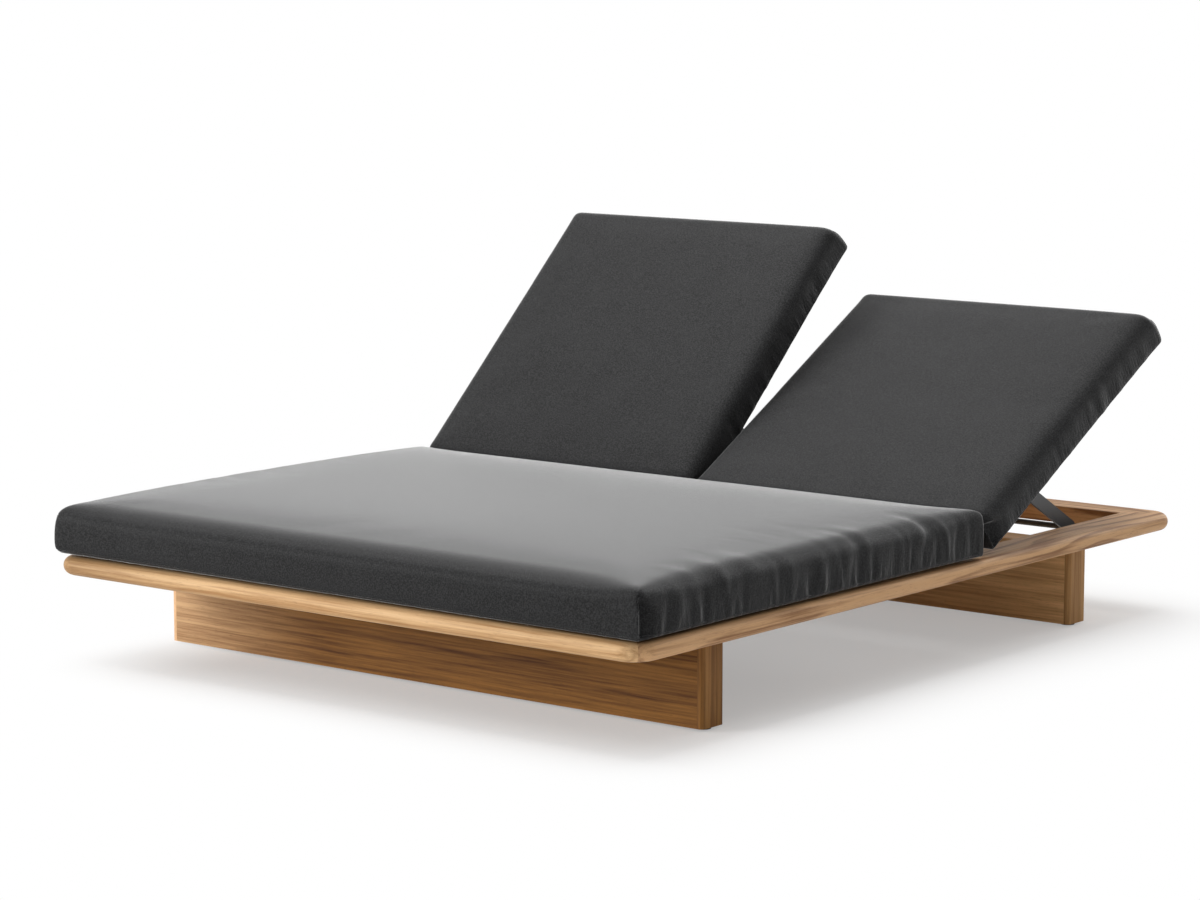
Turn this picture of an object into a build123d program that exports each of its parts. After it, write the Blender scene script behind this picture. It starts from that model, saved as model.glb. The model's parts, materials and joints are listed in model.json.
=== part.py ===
from build123d import *
import math
import os

os.makedirs("parts", exist_ok=True)

# Double chaise lounger: a low teak frame on two panel legs, a one-piece seat cushion and two
# backs that recline apart from each other, each held by a folding prop.
# Lengths are in millimetres and angles in degrees. The origin is on the floor under the middle
# of the frame, +X is to the right as seen from the foot end, +Y towards the head end, +Z up.

# Rim: four mitred rails with a round nose
frame_width = 1680.0
frame_length = 2136.0
frame_top = 238.0
rim_thickness = 41.0
rail_width = 102.5
corner_radius = 60.0
nose_flat = 1.0
inner_edge_round = 3.0
spline_length = 60.0
spline_width = 56.0
spline_thickness = 10.0

# Rails inside the rim
centre_rail_width = 56.0
cross_rail_width = 66.0
cross_rail_thickness = 35.0
inner_rail_round = 2.0

# Seat deck
ledger_width = 25.0
ledger_height = 25.0
seat_slat_gap = 16.0
seat_slat_thickness = 12.0
seat_slat_count = 13
slat_round = 2.0

# Panel legs
leg_overlap = 30.5
leg_thickness = 76.0
leg_set_back = 201.5
leg_board = 18.0
end_board = 14.0
end_round = 10.0
leg_top_rail_height = 45.0
leg_bottom_rail_height = 25.0
glide_height = 6.0
glide_radius = 17.0
glide_inset = 26.0
glide_round = 1.5
bolt_radius = 4.0
bolt_head_radius = 7.0
bolt_head_height = 8.0
bolt_grip = 28.0
bolt_head_clearance = 0.5

# Backs: how each one stands in this pose, and how they hinge
left_tilt = 43.2
right_tilt = 28.9
hinge_to_seat_deck = 27.0
hinge_y = 243.0
hinge_pin_radius = 6.0
hinge_pin_grip = 35.0
hinge_pin_set_back = 2.0
bush_wall = 3.0
bush_flange_radius = 13.0
bush_flange_thickness = 2.0
spacer_wall = 5.0
running_clearance = 0.05
side_clearance = 0.3

# Back panels
side_channel = 52.5
stile_width = 40.0
panel_thickness = 35.0
head_clearance = 6.5
back_slat_thickness = 10.0
back_slat_count = 7
back_slat_gap = 22.0
slat_housing = 12.0
top_rail_width = 55.0
bottom_rail_start = 28.0
bottom_rail_width = 50.0
mid_rail_width = 38.0
mid_rail_to_pivot = 44.0
panel_edge_round = 2.0

# Props: two flat arms joined by a rod
arm_width = 34.0
arm_thickness = 6.0
arm_to_stile = 6.0
rod_radius = 7.0
rod_end_gap = 6.0
rod_chamfer = 1.0
rod_notch_clearance = 1.5
pivot_radius = 5.0
pivot_grip = 25.0
pivot_shoulder_radius = 9.0
pivot_head_radius = 9.0
pivot_head_height = 4.0
pivot_head_chamfer = 1.2

# Notched racks that hold the rods
rack_thickness = 24.0
rack_lift = 0.5
rack_end = 24.0
notch_radius = 8.0
notch_depth = 5.0
notches_between_tilts = 3
flatter_notches = 2
steeper_notches = 1
screw_radius = 2.5
screw_head_radius = 4.5
screw_head_height = 3.0
screw_grip = 20.0
screw_end_distance = 9.0

# Cushions
cushion_side_inset = 4.0
seat_cushion_front_inset = 2.0
seat_cushion_rear = 200.0
seat_cushion_thickness = 118.0
seat_crown = 9.0
back_cushion_head_inset = 17.7
back_cushion_thickness = 100.0
back_crown = 7.0
back_cushion_gap = 3.0
cushion_lift = 0.7
flat_cushion_gap = 2.3
cushion_slide_per_radian = 115.0
side_pull_in = 5.0
side_bulge = 5.0
cushion_corner_radius = 40.0
cushion_top_round = 34.0
cushion_bottom_round = 28.0

# One length for cuts that run out past a face
overrun = 5.0

# Places that follow from the sizes above
half_width = frame_width / 2
half_length = frame_length / 2
cushion_width = frame_width - 2 * cushion_side_inset
rim_bottom = frame_top - rim_thickness
nose_round = (rim_thickness - nose_flat) / 2
opening_x = half_width - rail_width
opening_y = half_length - rail_width
leg_length = 2 * (opening_x + leg_overlap)
centre_x = centre_rail_width / 2
hinge_z = rim_bottom + rim_thickness / 2
deck_rise = frame_top - hinge_z
cross_rail_rear = hinge_y - hinge_to_seat_deck
cross_rail_front = cross_rail_rear - cross_rail_width
leg_y = opening_y - leg_set_back - leg_thickness / 2
leg_height = rim_bottom - glide_height
leg_core = leg_thickness - 2 * leg_board
board_length = leg_length - 2 * end_board
bolt_x = board_length / 2 - bolt_head_radius - bolt_head_clearance
bolt_places = [(x, y) for x in (-bolt_x, 0, bolt_x) for y in (-leg_y, leg_y)]
stile_outer = opening_x - side_channel
stile_inner = centre_x + side_channel
panel_middle = deck_rise - panel_thickness / 2
panel_length = opening_y - hinge_y - head_clearance
top_rail_start = panel_length - top_rail_width
folded_rod = top_rail_start - back_slat_gap / 2
prop_arm_length = folded_rod / 2
bottom_rail_end = bottom_rail_start + bottom_rail_width
back_deck = top_rail_start - bottom_rail_end
back_slat_width = (back_deck - (back_slat_count + 1) * back_slat_gap) / back_slat_count
back_slat_length = stile_outer - stile_inner - 2 * stile_width + 2 * slat_housing
mid_rail_middle = prop_arm_length - mid_rail_to_pivot
rack_top = hinge_z - rod_radius - side_clearance
rack_bottom = rim_bottom + rack_lift
arm_middle_outer = stile_outer + arm_to_stile + arm_thickness / 2
arm_middle_inner = stile_inner - arm_to_stile - arm_thickness / 2
flat_back_start = seat_cushion_rear + flat_cushion_gap
back_cushion_length = half_length - back_cushion_head_inset - flat_back_start
sides = (("left", -1, left_tilt), ("right", 1, right_tilt))


def low_x(sign, near, far):
    """Left-hand end of a stretch that lies between two distances from the middle plane."""
    return near if sign > 0 else -far


def cross_plane(x):
    """Upright plane across X: its sketches are drawn in Y and Z."""
    return Plane(origin=(x, 0, 0), x_dir=(0, 1, 0), z_dir=(1, 0, 0))


def panel_plane(tilt):
    """Plane of a back through its hinge line: drawn in X and in distance up the back."""
    angle = math.radians(tilt)
    return Plane(
        origin=(0, hinge_y, hinge_z),
        x_dir=(1, 0, 0),
        z_dir=(0, -math.sin(angle), math.cos(angle)),
    )


def panel_side(x, tilt):
    """Side view of a back at x: drawn in distance up the back and height over its plane."""
    angle = math.radians(tilt)
    return Plane(
        origin=(x, hinge_y, hinge_z),
        x_dir=(0, math.cos(angle), math.sin(angle)),
        z_dir=(1, 0, 0),
    )


def prop_side(x, tilt):
    """Side view of a prop at x: drawn along the arm from its pivot on the back."""
    angle = math.radians(tilt)
    return Plane(
        origin=(
            x,
            hinge_y + prop_arm_length * math.cos(angle),
            hinge_z + prop_arm_length * math.sin(angle),
        ),
        x_dir=(0, math.cos(angle), -math.sin(angle)),
        z_dir=(1, 0, 0),
    )


def rod_y(tilt):
    """Place of the rod along the racks. Back and prop make equal angles with the racks."""
    return hinge_y + folded_rod * math.cos(math.radians(tilt))


def mitre_plane(sign_x, sign_y):
    """Upright plane through a corner of the rim, facing the end rail."""
    return Plane(
        origin=(sign_x * half_width, sign_y * half_length, 0),
        x_dir=(0, 0, 1),
        z_dir=(-sign_x, sign_y, 0),
    )


def spline_place(sign_x, sign_y):
    """Middle of a corner's spline, turned so that its length crosses the mitre."""
    return Location(
        (
            sign_x * (half_width - rail_width / 2),
            sign_y * (half_length - rail_width / 2),
            hinge_z,
        ),
        (0, 0, math.degrees(math.atan2(sign_y, -sign_x))),
    )


def write(piece, label):
    """Label a finished piece and write it to its own file."""
    piece.part.label = label
    export_step(piece.part, f"parts/{label}.step")


corner_places = [spline_place(sign_x, sign_y) for sign_x in (-1, 1) for sign_y in (-1, 1)]

# Rim ring, from which the four rails are cut
with BuildPart() as rim:
    with BuildSketch(Plane.XY.offset(rim_bottom)):
        RectangleRounded(frame_width, frame_length, corner_radius)
        Rectangle(2 * opening_x, 2 * opening_y, mode=Mode.SUBTRACT)
    extrude(amount=rim_thickness)
    top_face = rim.faces().sort_by(Axis.Z)[-1]
    bottom_face = rim.faces().sort_by(Axis.Z)[0]
    inner_edges = top_face.inner_wires()[0].edges()
    fillet(top_face.outer_wire().edges() + bottom_face.outer_wire().edges(), radius=nose_round)
    fillet(inner_edges, radius=inner_edge_round)
    with Locations(*corner_places):
        Box(spline_length, spline_width, spline_thickness, mode=Mode.SUBTRACT)
    with BuildSketch(Plane.XY.offset(rim_bottom)):
        with Locations(*bolt_places):
            Circle(bolt_radius)
    extrude(amount=bolt_grip, mode=Mode.SUBTRACT)
    with BuildSketch(cross_plane(-opening_x - hinge_pin_grip)):
        with Locations((hinge_y, hinge_z)):
            Circle(hinge_pin_radius)
    extrude(amount=2 * (opening_x + hinge_pin_grip), mode=Mode.SUBTRACT)

for label, sign_y in (("front_rail", -1), ("head_rail", 1)):
    with BuildPart() as end_rail:
        add(rim.part)
        for sign_x in (-1, 1):
            split(bisect_by=mitre_plane(sign_x, sign_y), keep=Keep.TOP)
    write(end_rail, label)

for label, sign_x in (("left_side_rail", -1), ("right_side_rail", 1)):
    with BuildPart() as side_rail:
        add(rim.part)
        for sign_y in (-1, 1):
            split(bisect_by=mitre_plane(sign_x, sign_y), keep=Keep.BOTTOM)
    write(side_rail, label)

with BuildPart() as corner_splines:
    with Locations(*corner_places):
        Box(spline_length, spline_width, spline_thickness)
write(corner_splines, "corner_splines")

# Centre rail, bored for the middle hinge pin
with BuildPart() as centre_rail:
    with BuildSketch(Plane.XY.offset(rim_bottom)):
        Rectangle(centre_rail_width, 2 * opening_y)
    extrude(amount=rim_thickness)
    top_edges = centre_rail.faces().sort_by(Axis.Z)[-1].edges().filter_by(Axis.Y)
    fillet(top_edges, radius=inner_rail_round)
    with BuildSketch(cross_plane(-centre_x)):
        with Locations((hinge_y, hinge_z)):
            Circle(hinge_pin_radius)
    extrude(amount=centre_rail_width, mode=Mode.SUBTRACT)
    with BuildSketch(Plane.XY.offset(rim_bottom)):
        with Locations(*bolt_places):
            Circle(bolt_radius)
    extrude(amount=bolt_grip, mode=Mode.SUBTRACT)
write(centre_rail, "centre_rail")

bay_width = opening_x - centre_x
bay_middle = (opening_x + centre_x) / 2
seat_deck = opening_y + cross_rail_front
seat_slat_pitch = seat_deck / seat_slat_count
seat_slat_width = seat_slat_pitch - seat_slat_gap
ledger_top = frame_top - seat_slat_thickness

for side, sign, tilt in sides:
    # Cross rail behind the seat deck
    with BuildPart() as cross_rail:
        with BuildSketch(Plane.XY.offset(frame_top - cross_rail_thickness)):
            with Locations((sign * bay_middle, cross_rail_rear - cross_rail_width / 2)):
                Rectangle(bay_width, cross_rail_width)
        extrude(amount=cross_rail_thickness)
        top_edges = cross_rail.faces().sort_by(Axis.Z)[-1].edges().filter_by(Axis.X)
        fillet(top_edges, radius=inner_rail_round)
    write(cross_rail, f"{side}_cross_rail")

    # Seat slats, evenly spaced from the front rail to the cross rail
    with BuildPart() as seat_slats:
        with BuildSketch(Plane.XY.offset(ledger_top)):
            with Locations((sign * bay_middle, cross_rail_front - seat_deck / 2)):
                with GridLocations(bay_width, seat_slat_pitch, 1, seat_slat_count):
                    Rectangle(bay_width, seat_slat_width)
        extrude(amount=seat_slat_thickness)
        long_edges = seat_slats.edges().filter_by(Axis.X).group_by(Axis.Z)[-1]
        fillet(long_edges, radius=slat_round)
    write(seat_slats, f"{side}_seat_slats")

    # Ledgers under the slat ends
    for place, near in (("outer", opening_x - ledger_width), ("inner", centre_x)):
        with BuildPart() as ledger:
            with BuildSketch(cross_plane(low_x(sign, near, near + ledger_width))):
                with Locations((cross_rail_front - seat_deck / 2, ledger_top - ledger_height / 2)):
                    Rectangle(seat_deck, ledger_height)
            extrude(amount=ledger_width)
        write(ledger, f"{side}_{place}_ledger")

# Panel legs: two face boards round a core, closed by an upright board at each end
for leg, sign_y in (("front_leg", -1), ("rear_leg", 1)):
    middle = sign_y * leg_y
    board_offset = (leg_thickness - leg_board) / 2
    for board, shift in (("front_board", -board_offset), ("back_board", board_offset)):
        with BuildPart() as face_board:
            with BuildSketch(Plane.XY.offset(glide_height)):
                with Locations((0, middle + shift)):
                    Rectangle(board_length, leg_board)
            extrude(amount=leg_height)
        write(face_board, f"{leg}_{board}")

    with BuildPart() as end_boards:
        with BuildSketch(Plane.XY.offset(glide_height)):
            with Locations((0, middle)):
                RectangleRounded(leg_length, leg_thickness, end_round)
                Rectangle(board_length, leg_thickness, mode=Mode.SUBTRACT)
        extrude(amount=leg_height)
    write(end_boards, f"{leg}_end_boards")

    with BuildPart() as leg_top_rail:
        with BuildSketch(Plane.XY.offset(rim_bottom - leg_top_rail_height)):
            with Locations((0, middle)):
                Rectangle(board_length, leg_core)
        extrude(amount=leg_top_rail_height)
        with Locations(Location((0, 0, rim_bottom - leg_top_rail_height), (180, 0, 0))):
            with Locations(*[(x, -y) for x, y in bolt_places if y == middle]):
                CounterBoreHole(bolt_radius, bolt_head_radius, bolt_head_height, leg_top_rail_height)
    write(leg_top_rail, f"{leg}_top_rail")

    with BuildPart() as leg_bottom_rail:
        with BuildSketch(Plane.XY.offset(glide_height)):
            with Locations((0, middle)):
                Rectangle(board_length, leg_core)
        extrude(amount=leg_bottom_rail_height)
    write(leg_bottom_rail, f"{leg}_bottom_rail")

    with BuildPart() as glides:
        with BuildSketch(Plane.XY):
            with Locations((0, middle)):
                with GridLocations(leg_length - 2 * glide_inset, leg_thickness, 2, 1):
                    Circle(glide_radius)
        extrude(amount=glide_height)
        fillet(glides.edges().group_by(Axis.Z)[0], radius=glide_round)
    write(glides, f"{leg}_glides")

# Bolts that hold the rails down on the legs, heads below
with BuildPart() as leg_bolts:
    with BuildSketch(Plane.XY.offset(rim_bottom - leg_top_rail_height)):
        with Locations(*bolt_places):
            Circle(bolt_head_radius)
    extrude(amount=bolt_head_height)
    with BuildSketch(Plane.XY.offset(rim_bottom - leg_top_rail_height + bolt_head_height)):
        with Locations(*bolt_places):
            Circle(bolt_radius)
    extrude(amount=leg_top_rail_height - bolt_head_height + bolt_grip)
write(leg_bolts, "leg_bolts")

# Hinge pins: one in each side rail and one through the centre rail
outer_pin_start = stile_outer - stile_width + hinge_pin_set_back
outer_pin_length = opening_x + hinge_pin_grip - outer_pin_start
inner_pin_length = 2 * (stile_inner + stile_width - hinge_pin_set_back)
pin_stretches = (
    (low_x(-1, outer_pin_start, outer_pin_start + outer_pin_length), outer_pin_length),
    (-inner_pin_length / 2, inner_pin_length),
    (outer_pin_start, outer_pin_length),
)
with BuildPart() as hinge_pins:
    for start, length in pin_stretches:
        with BuildSketch(cross_plane(start)):
            with Locations((hinge_y, hinge_z)):
                Circle(hinge_pin_radius)
        extrude(amount=length)
write(hinge_pins, "hinge_pins")

# Spacer tubes that keep each back in the middle of its bay
spacer_length = side_channel - bush_flange_thickness - side_clearance
spacer_starts = [low_x(sign, near, near + spacer_length)
                 for sign in (-1, 1) for near in (centre_x, opening_x - spacer_length)]
with BuildPart() as hinge_spacers:
    for start in spacer_starts:
        with BuildSketch(cross_plane(start)):
            with Locations((hinge_y, hinge_z)):
                Circle(hinge_pin_radius + spacer_wall)
                Circle(hinge_pin_radius, mode=Mode.SUBTRACT)
        extrude(amount=spacer_length)
write(hinge_spacers, "hinge_spacers")

# Racks: a row of round notches, one of them under each rod
notch_pitch = (rod_y(right_tilt) - rod_y(left_tilt)) / notches_between_tilts
notch_total = flatter_notches + notches_between_tilts + 1 + steeper_notches
first_notch = rod_y(left_tilt) - steeper_notches * notch_pitch
last_notch = first_notch + (notch_total - 1) * notch_pitch
notch_middle = (first_notch + last_notch) / 2
rack_length = last_notch - first_notch + 2 * (notch_radius + rack_end)
screw_span = rack_length - 2 * screw_end_distance
screw_z = (rack_top + rack_bottom) / 2
max_tilt = math.degrees(math.acos((first_notch - hinge_y) / folded_rod))
print(f"steepest tilt {max_tilt:.3f}, notch pitch {notch_pitch:.3f}")

for side, sign, tilt in sides:
    for place, near in (("outer", opening_x - rack_thickness), ("inner", centre_x)):
        facing = -sign if place == "outer" else sign
        open_face = opening_x - rack_thickness if place == "outer" else centre_x + rack_thickness
        with BuildPart() as rack:
            with BuildSketch(cross_plane(low_x(sign, near, near + rack_thickness))):
                with Locations((notch_middle, (rack_top + rack_bottom) / 2)):
                    Rectangle(rack_length, rack_top - rack_bottom)
                with Locations((notch_middle, rack_top + notch_radius - notch_depth)):
                    with GridLocations(notch_pitch, notch_pitch, notch_total, 1):
                        Circle(notch_radius, mode=Mode.SUBTRACT)
            extrude(amount=rack_thickness)
            screw_plane = Plane(
                origin=(sign * open_face, notch_middle, screw_z),
                x_dir=(0, 1, 0),
                z_dir=(facing, 0, 0),
            )
            with Locations(screw_plane):
                with GridLocations(screw_span, screw_span, 2, 1):
                    CounterBoreHole(screw_radius, screw_head_radius, screw_head_height, rack_thickness)
        write(rack, f"{side}_{place}_rack")

with BuildPart() as rack_screws:
    for side, sign, tilt in sides:
        for open_face, direction in (
            (opening_x - rack_thickness, sign),
            (centre_x + rack_thickness, -sign),
        ):
            screw_plane = Plane(
                origin=(sign * open_face, notch_middle, screw_z),
                x_dir=(0, 1, 0),
                z_dir=(direction, 0, 0),
            )
            with BuildSketch(screw_plane):
                with GridLocations(screw_span, screw_span, 2, 1):
                    Circle(screw_head_radius)
            extrude(amount=screw_head_height)
            with BuildSketch(screw_plane.offset(screw_head_height)):
                with GridLocations(screw_span, screw_span, 2, 1):
                    Circle(screw_radius)
            extrude(amount=rack_thickness - screw_head_height)
write(rack_screws, "rack_screws")


def stile(sign, tilt, near):
    """One side of a back panel, with its hinge eye, slat housings and notch for the rod."""
    notch_half = rod_radius + rod_notch_clearance
    with BuildPart() as piece:
        with BuildSketch(panel_side(low_x(sign, near, near + stile_width), tilt)):
            with Locations((panel_length / 2, panel_middle)):
                Rectangle(panel_length, panel_thickness)
            with Locations((0, panel_middle)):
                Circle(panel_thickness / 2)
            Circle(hinge_pin_radius + running_clearance + bush_wall, mode=Mode.SUBTRACT)
            with Locations((folded_rod, 0)):
                Circle(notch_half, mode=Mode.SUBTRACT)
            with Locations((folded_rod, -panel_thickness / 2)):
                Rectangle(2 * notch_half, panel_thickness, mode=Mode.SUBTRACT)
        extrude(amount=stile_width)
        with BuildSketch(panel_plane(tilt).offset(deck_rise - back_slat_thickness)):
            back_slat_outlines(sign)
        extrude(amount=back_slat_thickness, mode=Mode.SUBTRACT)
        pivot_face = stile_outer if near > stile_inner else stile_inner
        pivot_start = pivot_face - pivot_grip if near > stile_inner else pivot_face
        with BuildSketch(prop_side(low_x(sign, pivot_start, pivot_start + pivot_grip), tilt)):
            Circle(pivot_radius)
        extrude(amount=pivot_grip, mode=Mode.SUBTRACT)
    return piece


def back_slat_outlines(sign):
    """Rectangles of a back's slats, between its bottom rail and its top rail."""
    with Locations((sign * (stile_outer + stile_inner) / 2, (top_rail_start + bottom_rail_end) / 2)):
        with GridLocations(back_slat_length, back_slat_width + back_slat_gap, 1, back_slat_count):
            Rectangle(back_slat_length, back_slat_width)


def panel_rail(sign, tilt, start, width, thickness):
    """Rail between the stiles, from start up the back, its underside level with theirs."""
    with BuildPart() as piece:
        with BuildSketch(panel_plane(tilt).offset(deck_rise - panel_thickness)):
            with Locations((sign * (stile_outer + stile_inner) / 2, start + width / 2)):
                Rectangle(stile_outer - stile_inner - 2 * stile_width, width)
        extrude(amount=thickness)
    return piece


def pivot_pins(sign, tilt):
    """Turned pins on the stiles' outer faces: grip, shoulder, journal for the arm and head."""
    angle = math.radians(tilt)
    shoulder_end = arm_to_stile - side_clearance
    head_start = arm_to_stile + arm_thickness + side_clearance
    head_end = head_start + pivot_head_height
    journal = pivot_radius - running_clearance
    with BuildPart() as piece:
        for face, direction in ((stile_outer, sign), (stile_inner, -sign)):
            origin = (
                sign * face,
                hinge_y + prop_arm_length * math.cos(angle),
                hinge_z + prop_arm_length * math.sin(angle),
            )
            with BuildSketch(Plane(origin=origin, x_dir=(direction, 0, 0), z_dir=(0, 1, 0))):
                with BuildLine():
                    Polyline(
                        (-pivot_grip, 0),
                        (-pivot_grip, pivot_radius),
                        (0, pivot_radius),
                        (0, pivot_shoulder_radius),
                        (shoulder_end, pivot_shoulder_radius),
                        (shoulder_end, journal),
                        (head_start, journal),
                        (head_start, pivot_head_radius),
                        (head_end - pivot_head_chamfer, pivot_head_radius),
                        (head_end, pivot_head_radius - pivot_head_chamfer),
                        (head_end, 0),
                        close=True,
                    )
                make_face()
            revolve(axis=Axis(origin, (1, 0, 0)))
    return piece


def cushion(plane, width, length, thickness, crown):
    """Padded cushion on a plane: bulging sides that draw in between the corners, a domed top
    and full, soft edges all round."""
    half_diagonal = math.hypot(width / 2, length / 2)
    dome_radius = (half_diagonal**2 + crown**2) / (2 * crown)
    loft_height = thickness + crown + overrun
    with BuildPart(plane) as piece:
        for height_share, inset in ((0, side_bulge), (0.5, 0), (1, side_bulge)):
            x = width / 2 - inset
            y = length / 2 - inset
            with BuildSketch(plane.offset(height_share * loft_height)):
                with BuildLine():
                    ThreePointArc((-x, -y), (0, side_pull_in - y), (x, -y))
                    ThreePointArc((x, -y), (x - side_pull_in, 0), (x, y))
                    ThreePointArc((x, y), (0, y - side_pull_in), (-x, y))
                    ThreePointArc((-x, y), (side_pull_in - x, 0), (-x, -y))
                outline = make_face()
                fillet(outline.vertices(), radius=cushion_corner_radius)
        loft()
        with Locations((0, 0, thickness + crown - dome_radius)):
            Sphere(dome_radius, mode=Mode.INTERSECT)
        up = Axis(plane.origin, plane.z_dir)
        fillet(piece.faces().sort_by(up)[-1].edges(), radius=cushion_top_round)
        fillet(piece.faces().sort_by(up)[0].edges(), radius=cushion_bottom_round)
    return piece


for side, sign, tilt in sides:
    angle = math.radians(tilt)

    # Back panel
    write(stile(sign, tilt, stile_outer - stile_width), f"{side}_back_outer_stile")
    write(stile(sign, tilt, stile_inner), f"{side}_back_inner_stile")
    for rail, start, width, thickness in (
        ("bottom_rail", bottom_rail_start, bottom_rail_width, panel_thickness),
        ("mid_rail", mid_rail_middle - mid_rail_width / 2, mid_rail_width,
         panel_thickness - back_slat_thickness),
        ("top_rail", top_rail_start, top_rail_width, panel_thickness),
    ):
        write(panel_rail(sign, tilt, start, width, thickness), f"{side}_back_{rail}")

    with BuildPart() as back_slats:
        with BuildSketch(panel_plane(tilt).offset(deck_rise - back_slat_thickness)):
            back_slat_outlines(sign)
        extrude(amount=back_slat_thickness)
    write(back_slats, f"{side}_back_slats")

    # Flanged bushes in the hinge eyes, the flange against the spacer
    with BuildPart() as hinge_bushes:
        bush_inner = hinge_pin_radius + running_clearance
        for eye, flange in (
            (stile_outer - stile_width, stile_outer),
            (stile_inner, stile_inner - bush_flange_thickness),
        ):
            with BuildSketch(cross_plane(low_x(sign, eye, eye + stile_width))):
                with Locations((hinge_y, hinge_z)):
                    Circle(bush_inner + bush_wall)
                    Circle(bush_inner, mode=Mode.SUBTRACT)
            extrude(amount=stile_width)
            with BuildSketch(cross_plane(low_x(sign, flange, flange + bush_flange_thickness))):
                with Locations((hinge_y, hinge_z)):
                    Circle(bush_flange_radius)
                    Circle(bush_inner, mode=Mode.SUBTRACT)
            extrude(amount=bush_flange_thickness)
    write(hinge_bushes, f"{side}_hinge_bushes")

    write(pivot_pins(sign, tilt), f"{side}_prop_pivots")

    # Prop
    for place, middle in (("outer", arm_middle_outer), ("inner", arm_middle_inner)):
        start = low_x(sign, middle - arm_thickness / 2, middle + arm_thickness / 2)
        with BuildPart() as arm:
            with BuildSketch(prop_side(start, tilt)):
                with Locations((prop_arm_length / 2, 0)):
                    SlotCenterToCenter(prop_arm_length, arm_width)
                Circle(pivot_radius, mode=Mode.SUBTRACT)
                with Locations((prop_arm_length, 0)):
                    Circle(rod_radius, mode=Mode.SUBTRACT)
            extrude(amount=arm_thickness)
        write(arm, f"{side}_prop_{place}_arm")

    rod_near = centre_x + rod_end_gap
    rod_far = opening_x - rod_end_gap
    with BuildPart() as rod:
        with BuildSketch(cross_plane(low_x(sign, rod_near, rod_far))):
            with Locations((rod_y(tilt), hinge_z)):
                Circle(rod_radius)
        extrude(amount=rod_far - rod_near)
        chamfer(rod.edges(), length=rod_chamfer)
    write(rod, f"{side}_prop_rod")

    # Back cushion. It lies loose on its panel and slides up it as the back rises.
    cushion_start = flat_back_start - hinge_y + cushion_slide_per_radian * angle
    half_cushion = (cushion_width - back_cushion_gap) / 2
    middle_x = sign * (half_cushion + back_cushion_gap) / 2
    base = panel_plane(tilt)
    rest_plane = Plane(
        origin=base.from_local_coords(
            (middle_x, cushion_start + back_cushion_length / 2, deck_rise + cushion_lift)
        ),
        x_dir=base.x_dir,
        z_dir=base.z_dir,
    )
    back_cushion = cushion(
        rest_plane,
        half_cushion,
        back_cushion_length,
        back_cushion_thickness,
        back_crown,
    )
    write(back_cushion, f"{side}_back_cushion")

# Seat cushion, one piece across both places
seat_cushion_front = -half_length + seat_cushion_front_inset
seat_cushion = cushion(
    Plane(
        origin=(0, (seat_cushion_front + seat_cushion_rear) / 2, frame_top + cushion_lift),
        x_dir=(1, 0, 0),
        z_dir=(0, 0, 1),
    ),
    cushion_width,
    seat_cushion_rear - seat_cushion_front,
    seat_cushion_thickness,
    seat_crown,
)
write(seat_cushion, "seat_cushion")
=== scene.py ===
"""Looks of the double chaise lounger: oiled teak frame, charcoal cushions, dark metal props.

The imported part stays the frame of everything. The rigid pieces keep their meshes and get
procedural finishes, and the three cushions are replaced by padded ones with seams and gathers.
"""

import json
import logging
import math
from dataclasses import dataclass, field
from enum import Enum

import bpy
import numpy as np
from bpy.types import Material, Node, NodeSocket, NodeTree, Object
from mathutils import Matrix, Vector


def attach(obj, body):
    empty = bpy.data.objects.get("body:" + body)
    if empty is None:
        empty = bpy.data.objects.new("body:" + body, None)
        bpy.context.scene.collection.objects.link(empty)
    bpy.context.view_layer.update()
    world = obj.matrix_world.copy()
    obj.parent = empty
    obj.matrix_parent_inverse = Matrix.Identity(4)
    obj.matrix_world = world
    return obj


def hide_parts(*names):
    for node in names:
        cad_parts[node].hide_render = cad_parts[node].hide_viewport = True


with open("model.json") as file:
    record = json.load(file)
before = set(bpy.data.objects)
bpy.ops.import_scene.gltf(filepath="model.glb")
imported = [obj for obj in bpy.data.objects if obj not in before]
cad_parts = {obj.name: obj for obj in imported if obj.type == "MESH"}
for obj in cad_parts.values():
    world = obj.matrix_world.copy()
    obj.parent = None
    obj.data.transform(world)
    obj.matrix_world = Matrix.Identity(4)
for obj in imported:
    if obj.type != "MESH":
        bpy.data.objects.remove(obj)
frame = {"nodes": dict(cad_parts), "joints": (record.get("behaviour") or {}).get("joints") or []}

logging.basicConfig(level=logging.INFO, format="%(message)s")
log = logging.getLogger("lounger")

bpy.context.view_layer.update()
MM = 0.001
# Keeps divisions off zero.
TINY = 1e-9
WHITE = (1.0, 1.0, 1.0, 1.0)
# Metres along and across the log between the places that two pieces are cut from.
LOG_STEP = (0.37, 0.213, 0.117)
# X over which a finish shades into its left tone: painted light on the legs' left end, painted
# shade on the front rail's.
LEFT_PAINTED_LIGHT_SPAN = (-0.88, -0.25)
# Cushions: frames of the cloth simulation, corners of a seam's profile, power of the top's fall
# towards the edges, and random seed of the backs.
FILLING_FRAMES = 20
SEAM_SIDES = 6
DOME_POWER = 2.5
BACK_SEED = 9

Array = np.ndarray
Span = tuple[float, float]
Triple = tuple[float, float, float]
Colour = tuple[float, float, float, float]


class Grain(Enum):
    """Direction in which the wood's fibres run, as a turn that brings it onto X."""

    ACROSS = (0.0, 0.0, 0.0)
    LENGTHWISE = (0.0, 0.0, -math.pi / 2)
    UPRIGHT = (0.0, math.pi / 2, 0.0)


class Side(Enum):
    """The two places, as their sign along X."""

    LEFT = -1
    RIGHT = 1

    @property
    def label(self) -> str:
        """Name of the place as the nodes use it."""
        return self.name.lower()


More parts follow.
